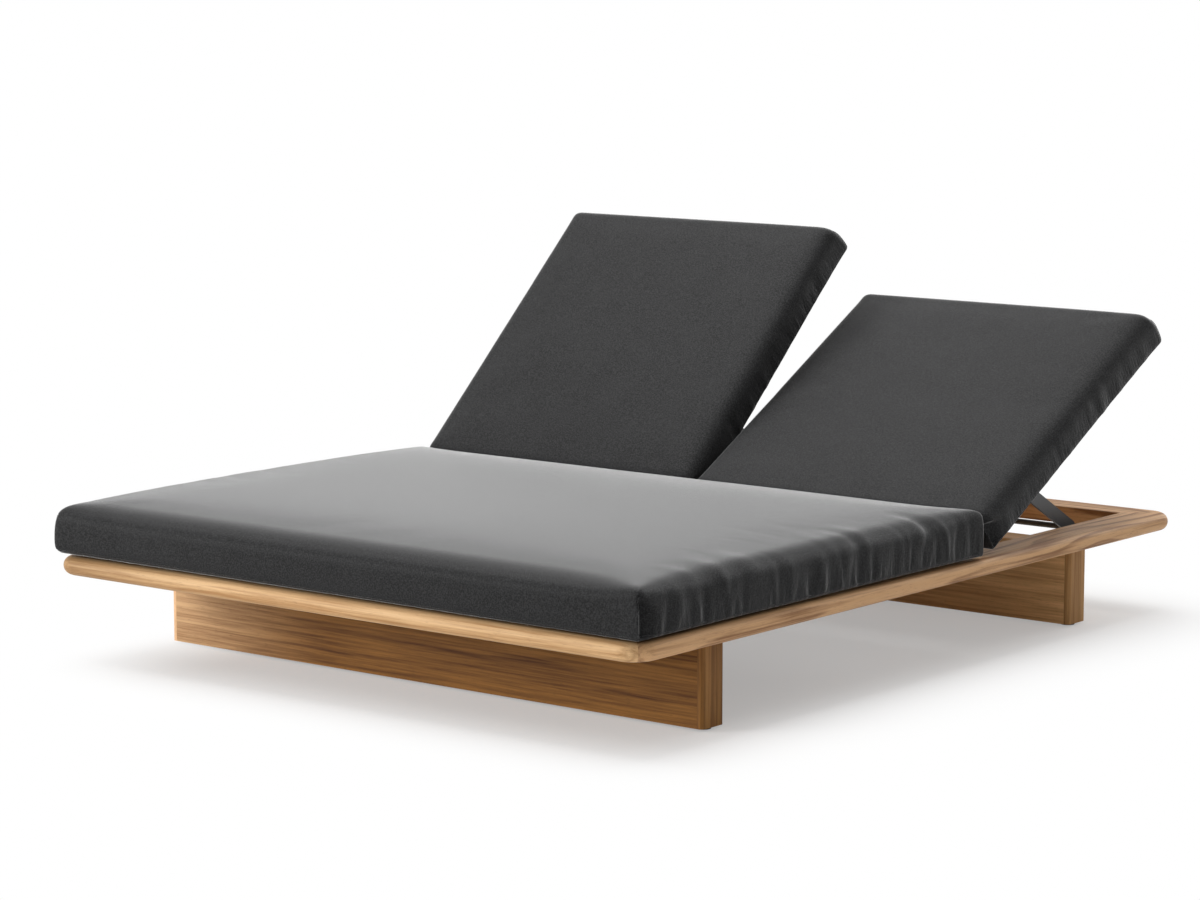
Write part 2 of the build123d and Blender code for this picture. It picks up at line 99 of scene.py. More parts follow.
@dataclass
class Net:
    """A node tree with short ways to add nodes to it."""

    tree: NodeTree

    def plug(self, node: Node, values: dict) -> None:
        """Set or link inputs of a node.

        Args:
            node: The node.
            values: Socket name or number with a constant or an output socket.
        """
        for key, value in values.items():
            if isinstance(value, NodeSocket):
                self.tree.links.new(value, node.inputs[key])
            else:
                node.inputs[key].default_value = value

    def node(self, kind: str, values: dict | None = None, **settings) -> Node:
        """Add a node and set it up.

        Args:
            kind: Type name of the node, less its "ShaderNode".
            values: Its inputs, as plug takes them.
            settings: Attributes of the node itself.

        Returns:
            The new node.
        """
        node = self.tree.nodes.new(f"ShaderNode{kind}")
        for name, value in settings.items():
            setattr(node, name, value)
        self.plug(node, values or {})
        return node

    def math(self, operation: str, *values, kind: str = "Math") -> NodeSocket:
        """Add a Math or Vector Math node.

        Args:
            operation: Name of the operation.
            values: Its inputs in order, numbers, vectors or output sockets.
            kind: "Math" or "VectorMath".

        Returns:
            Its first output socket.
        """
        return self.node(kind, dict(enumerate(values)), operation=operation).outputs[0]

    def split(self, vector: NodeSocket) -> bpy.types.bpy_prop_collection:
        """Add a node that gives the three parts of a vector."""
        return self.node("SeparateXYZ", {0: vector}).outputs

    def mix(self, share, first, second) -> NodeSocket:
        """Add a colour Mix node.

        Args:
            share: Share of the second colour, a number or a socket.
            first: First colour, RGBA or a socket.
            second: Second colour, RGBA or a socket.

        Returns:
            Its colour output socket.
        """
        return self.node("Mix", {0: share, 6: first, 7: second}, data_type="RGBA").outputs[2]

    def remap(self, value, source: Span, target: Span) -> NodeSocket:
        """Add a smooth Map Range node.

        Args:
            value: Socket to map.
            source: Its range.
            target: Range that it is mapped to.

        Returns:
            Its output socket.
        """
        values = dict(enumerate((value, *source, *target)))
        return self.node("MapRange", values, interpolation_type="SMOOTHSTEP").outputs[0]

    def noise(self, vector, scale: Triple, detail: float = 4.0, distortion: float = 0.0,
              grain: float = 0.5) -> NodeSocket:
        """Add a noise on a vector that is scaled apart along its axes.

        Args:
            vector: Output socket with the place.
            scale: Features to the metre along each axis.
            detail: Octaves of the noise.
            distortion: Distortion of the noise.
            grain: Weight of each octave against the one before.

        Returns:
            The noise's value socket, about 0.5 on average.
        """
        place = self.math("MULTIPLY", vector, scale, kind="VectorMath")
        values = {"Vector": place, "Scale": 1.0, "Detail": detail, "Distortion": distortion,
                  "Roughness": grain}
        return self.node("TexNoise", values).outputs["Fac"]

    def bump(self, height: NodeSocket, strength: float, depth: float,
             under: NodeSocket | None = None) -> NodeSocket:
        """Add a Bump node.

        Args:
            height: Height socket.
            strength: Strength of the bump.
            depth: Depth of the bump in millimetres.
            under: Normal of another bump that this one lies on.

        Returns:
            Its normal output socket.
        """
        values = {"Height": height, "Strength": strength, "Distance": depth * MM}
        if under is not None:
            values["Normal"] = under
        return self.node("Bump", values).outputs[0]


def new_group(name: str, inputs: dict[str, str],
              outputs: dict[str, str]) -> tuple[Net, bpy.types.bpy_prop_collection, Node]:
    """Start a shader node group with named sockets.

    Args:
        name: Name of the group.
        inputs: Input names, each with its kind: "Color", "Float" or "Vector".
        outputs: Output names with their kinds.

    Returns:
        The group, the sockets that bring its inputs, and its output node.
    """
    tree = bpy.data.node_groups.new(name, "ShaderNodeTree")
    for way, sockets in (("INPUT", inputs), ("OUTPUT", outputs)):
        for socket, kind in sockets.items():
            tree.interface.new_socket(socket, in_out=way, socket_type=f"NodeSocket{kind}")
    return Net(tree), tree.nodes.new("NodeGroupInput").outputs, tree.nodes.new("NodeGroupOutput")


def teak_group() -> NodeTree:
    """Figure of teak whose fibres run along X.

    Growth lines are bands of the distance across the fibres, bent by a slow noise that is long
    along the fibres, so they open into flames. Straight lines, fine streaks and short dark pores,
    all noises drawn out along the fibres, lie over them.

    Returns:
        The node group.
    """
    cross_share, drift_depth, middle_tone = 0.83, 0.02, 0.45
    line_weight, streak_weight, patch_weight = 0.35, 1.9, 0.45
    pore_tone, pore_share, pore_sink = (0.03, 0.018, 0.01, 1.0), 0.6, 0.8
    smoothest, streak_roughness = 0.42, 0.2
    net, source, sink = new_group(
        "teak_figure",
        {"Vector": "Vector", "Light": "Color", "Dark": "Color", "Bands": "Float",
         "Flame": "Float", "Swirl": "Float", "Contrast": "Float"},
        {"Color": "Color", "Roughness": "Float", "Height": "Float"},
    )
    place = source["Vector"]
    bend = net.noise(place, (0.9, 7.0, 7.0), 2.0)
    drift = net.noise(place, (3.0, 16.0, 16.0), 3.0)
    split = net.split(place)
    warped = net.math("ADD", split[1], net.math("MULTIPLY", split[2], cross_share))
    for noise, depth in ((bend, source["Flame"]), (drift, drift_depth)):
        warped = net.math("ADD", warped, net.math("MULTIPLY", noise, depth))
    saw = net.math("FRACT", net.math("MULTIPLY", warped, source["Bands"]))
    late = net.remap(saw, (0.35, 1.0), (0.0, 1.0))
    early = net.remap(saw, (0.0, 0.12), (1.0, 0.0))
    bands = net.math("MAXIMUM", late, early)
    lines = net.noise(place, (0.8, 62.0, 62.0), 4.0, 0.3)
    lines = net.remap(lines, (0.36, 0.66), (0.0, 1.0))
    streaks = net.noise(place, (4.5, 175.0, 175.0), 6.0, grain=0.62)
    patches = net.noise(place, (1.2, 13.0, 13.0), 3.0)
    pores = net.noise(place, (45.0, 900.0, 900.0), 2.0)
    tone = net.math("MULTIPLY", net.math("SUBTRACT", bands, 0.5), source["Swirl"])
    for part, weight in ((lines, line_weight), (streaks, streak_weight), (patches, patch_weight)):
        centred = net.math("SUBTRACT", part, 0.5)
        tone = net.math("ADD", tone, net.math("MULTIPLY", centred, weight))
    tone = net.math("ADD", net.math("MULTIPLY", tone, source["Contrast"]), middle_tone)
    share = net.node("Clamp", {0: tone}).outputs[0]
    wood = net.mix(share, source["Light"], source["Dark"])
    pore = net.remap(pores, (0.62, 0.72), (0.0, 0.45))
    wood = net.mix(pore, wood, net.mix(pore_share, source["Dark"], pore_tone))
    gloss = net.math("MULTIPLY", streaks, streak_roughness)
    sunk = net.math("MULTIPLY", pore, pore_sink)
    net.plug(sink, {
        "Color": wood, "Roughness": net.math("ADD", gloss, smoothest),
        "Height": net.math("SUBTRACT", streaks, sunk),
    })
    return net.tree


def weave_group() -> NodeTree:
    """Melange yarn in a plain weave.

    Two thread directions are the larger of two sine waves, and a fine noise mixes lighter
    fibres into the yarn. The pattern reads object coordinates. Fine upright creases are a noise
    in box coordinates that is drawn out through the thickness. They show on the long sides and
    fade towards the top.

    Returns:
        The node group.
    """
    thread_height, crease_distortion = 0.3, 0.5
    net, source, sink = new_group(
        "cloth_weave",
        {"Vector": "Vector", "Box": "Vector", "Yarn": "Color", "Fleck": "Color",
         "Threads": "Float"},
        {"Color": "Color", "Height": "Float", "Crease": "Float"},
    )
    place = source["Vector"]
    split = net.split(place)
    waves = []
    for first, second in ((0, 2), (1, 2)):
        along = net.math("ADD", split[first], split[second])
        waves.append(net.math("SINE", net.math("MULTIPLY", along, source["Threads"])))
    threads = net.math("MULTIPLY", net.math("MAXIMUM", *waves), thread_height)
    flecks = net.noise(place, (330.0, 330.0, 330.0), 4.0)
    clouds = net.noise(place, (9.0, 9.0, 9.0), 3.0)
    share = net.remap(flecks, (0.35, 0.72), (0.0, 1.0))
    cloth = net.mix(share, source["Yarn"], source["Fleck"])
    wash = net.remap(clouds, (0.3, 0.7), (0.0, 0.14))
    box = net.split(source["Box"])
    creases = net.noise(source["Box"], (3.0, 46.0, 1.7), 3.0, crease_distortion)
    beside = net.remap(net.math("ABSOLUTE", box[0]), (0.93, 0.985), (0.0, 1.0))
    below = net.remap(box[2], (-0.9, 0.75), (1.0, 0.0))
    shown = net.math("MULTIPLY", beside, below)
    net.plug(sink, {
        "Color": net.mix(wash, cloth, source["Fleck"]),
        "Height": net.math("ADD", threads, flecks),
        "Crease": net.math("MULTIPLY", creases, shown),
    })
    return net.tree


def speckle_group() -> NodeTree:
    """Fine unevenness of a coated, brushed or moulded surface.

    Returns:
        The node group, with a roughness that varies round a middle value and a height.
    """
    net, source, sink = new_group(
        "surface_speckle",
        {"Vector": "Vector", "Middle": "Float", "Spread": "Float", "Grit": "Float"},
        {"Roughness": "Float", "Height": "Float"},
    )
    inputs = {0: source["Vector"], 3: source["Grit"]}
    scaled = net.node("VectorMath", inputs, operation="SCALE").outputs[0]
    grit = net.noise(scaled, (1.0, 1.0, 1.0), 4.0)
    swing = net.math("MULTIPLY", net.math("SUBTRACT", grit, 0.5), source["Spread"])
    rough = net.math("ADD", swing, source["Middle"])
    net.plug(sink, {"Roughness": rough, "Height": grit})
    return net.tree


@dataclass(frozen=True)
class TeakFinish:
    """Oiled teak of one tone, which may shade into another towards the left.

    Bands are growth bands to the metre, flame says how far they are bent, in metres, and swirl
    how strong they are. Depth is the bump's in millimetres. The left tones paint the light and
    shade that fall on the part's left end; they are not the wood's own colour.
    """

    name: str
    light: Colour
    dark: Colour
    bands: float = 26.0
    flame: float = 0.16
    swirl: float = 0.25
    contrast: float = 1.0
    left_light: Colour | None = None
    left_dark: Colour | None = None
    relief: float = 0.12
    depth: float = 0.4
    specular: float = 0.16

    def material(self, group: NodeTree, label: str, turn: Triple, shift: Triple) -> Material:
        """Make the wood of one piece.

        Args:
            group: The teak figure group.
            label: Name of the piece.
            turn: Turn in radians that brings the piece's fibres onto X.
            shift: Place in the log that the piece was cut from.

        Returns:
            The material.
        """
        material, net, shader = blank_material(f"{self.name}_{label}")
        place = net.node("TexCoord").outputs["Object"]
        aligned = net.node("Mapping", {0: place, 1: shift, 2: turn}).outputs[0]
        # Share of the left tones: painted light and shade on the part's left end.
        left = net.remap(net.split(place)[0], LEFT_PAINTED_LIGHT_SPAN, (1.0, 0.0))
        figure = net.node("Group", {
            "Vector": aligned, "Bands": self.bands, "Flame": self.flame, "Swirl": self.swirl,
            "Contrast": self.contrast,
            "Light": net.mix(left, self.light, self.left_light or self.light),
            "Dark": net.mix(left, self.dark, self.left_dark or self.dark),
        }, node_tree=group).outputs
        net.plug(shader, {
            "Base Color": figure["Color"], "Roughness": figure["Roughness"],
            "Specular IOR Level": self.specular,
            "Normal": net.bump(figure["Height"], self.relief, self.depth),
        })
        return material


@dataclass(frozen=True)
class ClothFinish:
    """Woven outdoor cloth with a soft nap.

    Threads are radians of the weave's waves to the metre. Crease and depth are the depths of the
    creases and of the weave in millimetres.
    """

    name: str
    yarn: Colour
    fleck: Colour
    sheen: float = 0.92
    sheen_roughness: float = 0.27
    threads: float = 3600.0
    crease: float = 2.2
    relief: float = 0.28
    depth: float = 0.5
    roughness: float = 0.5
    specular: float = 0.06

    def material(self, group: NodeTree) -> Material:
        """Make the cloth.

        Args:
            group: The weave group.

        Returns:
            The material.
        """
        material, net, shader = blank_material(self.name)
        weave = net.node("Group", {
            "Vector": net.node("TexCoord").outputs["Object"],
            "Box": net.node("Attribute", attribute_name="box").outputs["Vector"],
            "Yarn": self.yarn, "Fleck": self.fleck, "Threads": self.threads,
        }, node_tree=group).outputs
        creased = net.bump(weave["Crease"], 1.0, self.crease)
        net.plug(shader, {
            "Base Color": weave["Color"], "Roughness": self.roughness,
            "Specular IOR Level": self.specular, "Sheen Weight": self.sheen,
            "Sheen Roughness": self.sheen_roughness,
            "Normal": net.bump(weave["Height"], self.relief, self.depth, creased),
        })
        return material


@dataclass(frozen=True)
class PlainFinish:
    """Metal or plastic of one colour with a fine unevenness.

    The roughness varies by spread, with grit features to the metre. Depth is the bump's in
    millimetres.
    """

    name: str
    colour: Colour
    metallic: float
    roughness: float
    spread: float = 0.15
    grit: float = 500.0
    relief: float = 0.05
    depth: float = 0.2

    def material(self, group: NodeTree) -> Material:
        """Make the finish.

        Args:
            group: The speckle group.

        Returns:
            The material.
        """
        material, net, shader = blank_material(self.name)
        speckle = net.node("Group", {
            "Vector": net.node("TexCoord").outputs["Object"],
            "Middle": self.roughness, "Spread": self.spread, "Grit": self.grit,
        }, node_tree=group).outputs
        net.plug(shader, {
            "Base Color": self.colour, "Metallic": self.metallic,
            "Roughness": speckle["Roughness"],
            "Normal": net.bump(speckle["Height"], self.relief, self.depth),
        })
        return material


def blank_material(name: str) -> tuple[Material, Net, Node]:
    """Start a material with a Principled shader.

    Args:
        name: Name of the material.

    Returns:
        The material, its nodes and its shader node.
    """
    material = bpy.data.materials.new(name)
    material.use_nodes = True
    net = Net(material.node_tree)
    return material, net, net.tree.nodes["Principled BSDF"]


def new_object(name: str, data: bpy.types.ID) -> Object:
    """Make an object and put it in the scene.

    Args:
        name: Name of the object.
        data: Its mesh, light or camera.

    Returns:
        The object.
    """
    thing = bpy.data.objects.new(name, data)
    bpy.context.scene.collection.objects.link(thing)
    return thing


def dress(node: str, material: Material) -> None:
    """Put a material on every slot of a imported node.

    Args:
        node: Name of the node.
        material: Material that it gets.
    """
    mesh = frame["nodes"][node].data
    if not mesh.materials:
        mesh.materials.append(material)
    for slot in range(len(mesh.materials)):
        mesh.materials[slot] = material


@dataclass
class Workshop:
    """The finishes of the part and the node groups behind them."""

    teak: NodeTree = field(default_factory=teak_group)
    weave: NodeTree = field(default_factory=weave_group)
    speckle: NodeTree = field(default_factory=speckle_group)
    # Front rail: darker left tones, painted shade that evens out the lamps' light on its left end.
    front_teak: TeakFinish = TeakFinish(
        "teak_front", (0.69, 0.448, 0.232, 1.0), (0.39, 0.209, 0.086, 1.0), swirl=0.12,
        contrast=1.3, left_light=(0.41, 0.248, 0.116, 1.0), left_dark=(0.215, 0.108, 0.042, 1.0))
    rail_teak: TeakFinish = TeakFinish(
        "teak_rail", (0.61, 0.362, 0.182, 1.0), (0.27, 0.132, 0.055, 1.0), bands=22.0, flame=0.35,
        swirl=0.6, contrast=1.35)
    inner_teak: TeakFinish = TeakFinish(
        "teak_inner", (0.50, 0.285, 0.115, 1.0), (0.26, 0.125, 0.042, 1.0))
    # Front leg boards: paler left tones, painted light where light from the left falls on that end.
    panel_teak: TeakFinish = TeakFinish(
        "teak_panel", (0.28, 0.125, 0.027, 1.0), (0.083, 0.028, 0.005, 1.0), swirl=0.15,
        contrast=1.3, left_light=(0.68, 0.44, 0.235, 1.0), left_dark=(0.33, 0.17, 0.075, 1.0))
    # Front leg end boards: the left one is pale, a painted highlight where its rounded edge catches
    # light from the left.
    end_teak: TeakFinish = TeakFinish(
        "teak_end", (0.34, 0.165, 0.045, 1.0), (0.105, 0.038, 0.009, 1.0), swirl=0.1,
        contrast=1.1, left_light=(0.88, 0.57, 0.33, 1.0), left_dark=(0.74, 0.46, 0.25, 1.0))
    # Rear leg boards: paler teak than the front leg's, painted light against the shade under the
    # frame.
    rear_teak: TeakFinish = TeakFinish(
        "teak_rear", (0.88, 0.55, 0.26, 1.0), (0.41, 0.205, 0.082, 1.0), swirl=0.1)
    charcoal: ClothFinish = ClothFinish(
        "charcoal_cloth", (0.0098, 0.0098, 0.01, 1.0), (0.033, 0.033, 0.0338, 1.0))
    coated: PlainFinish = PlainFinish("dark_coated_metal", (0.055, 0.06, 0.065, 1.0), 0.0, 0.42)
    steel: PlainFinish = PlainFinish("brushed_steel", (0.55, 0.55, 0.56, 1.0), 1.0, 0.35)
    brass: PlainFinish = PlainFinish("turned_brass", (0.60, 0.43, 0.18, 1.0), 1.0, 0.35)
    rubber: PlainFinish = PlainFinish("black_glide", (0.015, 0.015, 0.016, 1.0), 0.0, 0.6)

    def cut(self, finish: TeakFinish, node: str, grain: Triple, piece: int) -> None:
        """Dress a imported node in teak.

        Args:
            finish: Tone of the wood.
            node: Name of the node.
            grain: Turn that brings its fibres onto X.
            piece: Number of the piece, which sets its place in the log.
        """
        shift = tuple(step * piece for step in LOG_STEP)
        dress(node, finish.material(self.teak, node, grain, shift))


@dataclass
class Rim:
    """Mitred rim, centre rail and seat deck, cut from the log's place first_piece on."""

    shop: Workshop
    first_piece: int = 11

    def build(self) -> list[str]:
        """Dress the rim and the deck.

        Returns:
            Names of the dressed nodes.
        """
        rail, inner = self.shop.rail_teak, self.shop.inner_teak
        pieces = [("front_rail", self.shop.front_teak, Grain.ACROSS),
                  ("head_rail", rail, Grain.ACROSS),
                  ("left_side_rail", rail, Grain.LENGTHWISE),
                  ("right_side_rail", rail, Grain.LENGTHWISE),
                  ("centre_rail", inner, Grain.LENGTHWISE),
                  ("corner_splines", inner, Grain.ACROSS)]
        deck = {"cross_rail": Grain.ACROSS, "seat_slats": Grain.ACROSS,
                "outer_ledger": Grain.LENGTHWISE, "inner_ledger": Grain.LENGTHWISE}
        for side in Side:
            for piece, grain in deck.items():
                pieces.append((f"{side.label}_{piece}", inner, grain))
        for number, (node, finish, grain) in enumerate(pieces, self.first_piece):
            self.shop.cut(finish, node, grain.value, number)
        return [node for node, finish, grain in pieces]


@dataclass
class PanelLegs:
    """Two panel legs with their glides and bolts, with places in the log for boards and ends."""

    shop: Workshop
    first_piece: int = 20
    first_end: int = 31

    def build(self) -> list[str]:
        """Dress the legs.

        Returns:
            Names of the dressed nodes.
        """
        names = []
        shop = self.shop
        # The rear leg's boards and end boards take paler teak, painted light against the shade
        # under the frame.
        woods = {"front_leg": (shop.panel_teak, shop.end_teak),
                 "rear_leg": (shop.rear_teak, shop.inner_teak)}
        for number, (leg, (boards, ends)) in enumerate(woods.items(), self.first_end):
            for board in ("front_board", "back_board", "top_rail", "bottom_rail"):
                names.append(f"{leg}_{board}")
                shop.cut(boards, names[-1], Grain.ACROSS.value, self.first_piece + len(names))
            names.append(f"{leg}_end_boards")
            shop.cut(ends, names[-1], Grain.UPRIGHT.value, number)
            names.append(f"{leg}_glides")
            dress(names[-1], shop.rubber.material(shop.speckle))
        names.append("leg_bolts")
        dress("leg_bolts", shop.steel.material(shop.speckle))
        return names


@dataclass
class ReclineGear:
    """Hinges, racks and props that hold the backs up."""

    shop: Workshop

    def build(self) -> list[str]:
        """Dress the metal pieces.

        Returns:
            Names of the dressed nodes.
        """
        speckle = self.shop.speckle
        dark = self.shop.coated.material(speckle)
        bright = self.shop.steel.material(speckle)
        brass = self.shop.brass.material(speckle)
        finishes = {"hinge_pins": bright, "rack_screws": bright, "hinge_spacers": dark}
        for side in Side:
            sided = dict.fromkeys(("outer_rack", "inner_rack", "prop_outer_arm",
                                   "prop_inner_arm", "prop_rod"), dark)
            sided |= {"prop_pivots": bright, "hinge_bushes": brass}
            finishes |= {f"{side.label}_{piece}": finish for piece, finish in sided.items()}
        for node, material in finishes.items():
            dress(node, material)
        return list(finishes)


@dataclass
class BackPanel:
    """Slatted teak panel, cut from pieces_apart to either side of the log's first_piece."""

    shop: Workshop
    side: Side
    up_the_back: Vector
    first_piece: int = 40
    pieces_apart: int = 8

    def build(self) -> list[str]:
        """Dress the panel with its fibres running up the stiles and across the rails.

        Returns:
            Names of the dressed nodes.
        """
        tilt = math.atan2(self.up_the_back.z, self.up_the_back.y)
        upward = (-tilt, 0.0, -math.pi / 2)
        first = self.first_piece + self.pieces_apart * self.side.value
        names = []
        for piece in ("outer_stile", "inner_stile", "bottom_rail", "mid_rail", "top_rail", "slats"):
            names.append(f"{self.side.label}_back_{piece}")
            grain = upward if "stile" in piece else (-tilt, 0.0, 0.0)
            self.shop.cut(self.shop.inner_teak, names[-1], grain, first + len(names))
        return names


@dataclass(frozen=True)
class CushionForm:
    """Form of a cushion, with the seat's values.

    Lengths are millimetres, and triples run across, along and through the cushion. The rolls are
    radii of its edges; the left side, which the photo shows in outline, and the upright corners
    have their own, and the corners' run out over corner_reach. Fullness is the power of a roll's
    section, and squareness that of its plan at the bottom and the top. The sides draw in by
    pull_in between the corners, and their edges stand back by bulge. The top falls by crown, and
    by shoulder more near the edges, on the left side by the share left_fall. The filled cover
    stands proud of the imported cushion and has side_room beside it. The left side has left_share
    of the gathers, billows and hollows.
    """

    cells: tuple[int, int, int] = (56, 150, 12)
    crowding: Triple = (0.7, 0.35, 0.35)
    slack: float = 1.0
    top_roll: Triple = (60.0, 78.0, 52.0)
    bottom_roll: Triple = (5.0, 5.0, 5.0)
    left_roll: Triple = (17.0, 10.0, 22.0)
    left_top_width: float = 46.0
    corner_roll: Triple = (26.0, 24.0, 26.0)
    left_corner_roll: Triple = (32.0, 40.0, 44.0)
    corner_reach: float = 95.0
    fullness: float = 2.25
    squareness: Span = (9.0, 4.0)
    pull_in: float = 0.5
    bulge: float = 1.0
    crown: float = 10.0
    proud: float = 7.0
    side_room: float = 2.0
    shoulder: float = 5.5
    shoulder_reach: float = 110.0
    left_fall: float = 0.15
    pressure: float = 4.0
    swell_limit: float = 6.0
    gather_depth: float = 2.6
    gather_count: int = 84
    billow_depth: float = 3.0
    hollow_depth: float = 24.0
    left_share: float = 0.3
    seam_radius: float = 1.3
    welt_radius: float = 0.8


BACK_FORM = CushionForm(
    cells=(44, 96, 12), top_roll=(66.0, 32.0, 54.0), bottom_roll=(16.0, 16.0, 18.0),
    left_roll=(16.0, 16.0, 18.0), left_top_width=30.0, corner_roll=(58.0, 38.0, 52.0),
    left_corner_roll=(34.0, 34.0, 52.0), fullness=2.9, squareness=(6.0, 2.8), pull_in=0.0,
    bulge=0.0, crown=4.0, proud=3.0, shoulder=2.5, left_fall=1.0, swell_limit=5.0,
    gather_depth=1.1, gather_count=44, billow_depth=1.2)


def ramp(value: Array, start: float, width: float) -> Array:
    """Straight rise from 0 at the start to 1 a width further on."""
    return np.clip((value - start) / width, 0, 1)


def bell(distance: Array, width: float | Array) -> Array:
    """Bell curve, 1 at no distance."""
    return np.exp(-((distance / width) ** 2))


@dataclass
class Cushion:
    """Padded cushion on a plane, with corner seams, a welt and gathers down its long sides.

    Places on it are box coordinates a, b and c, from -1 to 1 across, along and through it.
    """

    shop: Workshop
    node: str
    body: str
    form: CushionForm = CushionForm()
    along: Vector = field(default_factory=lambda: Vector((0.0, 1.0, 0.0)))
    seam_corners: tuple[str, ...] = ("near_left", "near_right", "far_left", "far_right")
    seed: int = 5

    def measure(self) -> None:
        """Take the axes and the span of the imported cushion, in its own plane."""
        along = np.array(self.along)
        self.axes = np.array([(1.0, 0.0, 0.0), along, np.cross((1.0, 0.0, 0.0), along)])
        local = read_points(frame["nodes"][self.node]) @ self.axes.T
        low, high = local.min(axis=0), local.max(axis=0)
        self.middle = (low + high) / 2
        self.half = (high - low) / 2

    def edge_roll(self, box: Array) -> tuple[Array, Array, Array, Array]:
        """Split each point of the sharp box into an inner box and what lies past it.

        The inner box stands back by the radii of the edge roll, which widen from the bottom's to
        the top's by a smooth step through the thickness. Towards the upright corners the top's
        radii shrink to the corner's by a bell of the distance from them. The left side's radii
        pass evenly into the right side's.

        Args:
            box: Box coordinates, one row to a point.

        Returns:
            Points on the inner box, the steps past it as shares of the radii, the radii, and how
            far each point has gone from the bottom's edge to the top's, from 0 to 1.
        """
        form = self.form
        step_start, step_width, left_steepness = -0.9, 1.9, 1.25
        half = self.half - form.slack * MM
        sharp = box * half
        step = ramp(box[:, 2], step_start, step_width)
        step = step * step * (3 - 2 * step)
        away = (1 - np.abs(box[:, :2])) * self.half[:2] / (form.corner_reach * MM)
        left = (0.5 - 0.5 * np.clip(left_steepness * box[:, 0], -1, 1))[:, None]
        tight = np.exp(-(away**2).sum(axis=1))[:, None]
        low = np.array(form.bottom_roll) * (1 - left) + np.array(form.left_roll) * left
        wide = np.array(form.top_roll) + (form.left_top_width - form.top_roll[0], 0.0, 0.0) * left
        corner = np.array(form.corner_roll) * (1 - left) + np.array(form.left_corner_roll) * left
        high = wide * (1 - tight) + corner * tight
        radii = low + (high - low) * step[:, None]
        radii[:, 2] = np.where(box[:, 2] > 0, high[:, 2], low[:, 2])
        radii *= MM
        inner = np.clip(sharp, radii - half, half - radii)
        return inner, (sharp - inner) / radii, radii, step

    def surface(self, box: Array) -> Array:
        """Form of the cushion before it is filled.

        The step past the inner box is drawn onto a superellipsoid, fuller than an ellipsoid and
        square in plan at the bottom, so the edges roll over softly while the upright corners stay
        tight below and round off at the top. The sides then draw in by a parabola between the
        corners and bulge by one through the thickness. The top is domed, and near its edges it
        falls off further by an exponential of the distance from them. On the left half both
        falls across the cushion are the share left_fall of the right half's.

        Args:
            box: Box coordinates, one row to a point.

        Returns:
            Places in the cushion's own axes, about its middle, in metres.
        """
        form = self.form
        inner, past, radii, step = self.edge_roll(box)
        half = self.half - form.slack * MM
        square = form.squareness[0] + (form.squareness[1] - form.squareness[0]) * step
        plan = (np.abs(past[:, :2]) ** square[:, None]).sum(axis=1) ** (1 / square)
        power = form.fullness
        length = (plan**power + np.abs(past[:, 2]) ** power) ** (1 / power)
        reach = np.abs(past).max(axis=1) / np.maximum(length, TINY)
        place = inner + past * reach[:, None] * radii
        a, b = box[:, 0], box[:, 1]
        share = place[:, 2] / half[2]
        draw = form.bulge * share**2 * MM
        place[:, 0] *= 1 - (form.pull_in * MM * (1 - b**2) + draw) / half[0]
        place[:, 1] *= 1 - (form.pull_in * MM * (1 - a**2) + draw) / half[1]
        kept = np.where(a < 0, form.left_fall, 1.0)
        dome = (1 - kept * np.abs(a) ** DOME_POWER) * (1 - np.abs(b) ** DOME_POWER)
        room = np.clip(half[:2] - np.abs(place[:, :2]), 0, None)
        edge = np.exp(-room / (form.shoulder_reach * MM))
        edge[:, 0] *= kept
        slope = 1 - (1 - edge[:, 0]) * (1 - edge[:, 1])
        fall = form.crown * (1 - dome) + form.shoulder * slope
        place[:, 2] -= fall * MM * np.clip(share, 0, 1)
        return place

    def grid(self) -> tuple[Array, Array, Array]:
        """Grid over the six sides of a box, closed along its edges.

        Along each axis the grid lines crowd towards the ends by a sine.

        Returns:
            Box coordinates of the vertices, the quads, and the vertex numbers in a block of cells.
        """
        lines = []
        for count, crowd in zip(self.form.cells, self.form.crowding):
            even = np.linspace(-1.0, 1.0, count + 1)
            lines.append(even + crowd * np.sin(np.pi * even) / np.pi)
        block = np.stack(np.meshgrid(*lines, indexing="ij"), axis=-1)
        shell = np.abs(block).max(axis=-1) > 1 - TINY
        numbers = np.full(shell.shape, -1)
        numbers[shell] = np.arange(shell.sum())
        quads = []
        for axis in range(3):
            for end, turned in ((0, True), (-1, False)):
                sheet = np.take(numbers, end, axis=axis)
                corners = [sheet[:-1, :-1], sheet[1:, :-1], sheet[1:, 1:], sheet[:-1, 1:]]
                if turned != (axis == 1):
                    corners.reverse()
                quads.append(np.stack(corners, axis=-1).reshape(-1, 4))
        return block[shell], np.concatenate(quads), numbers

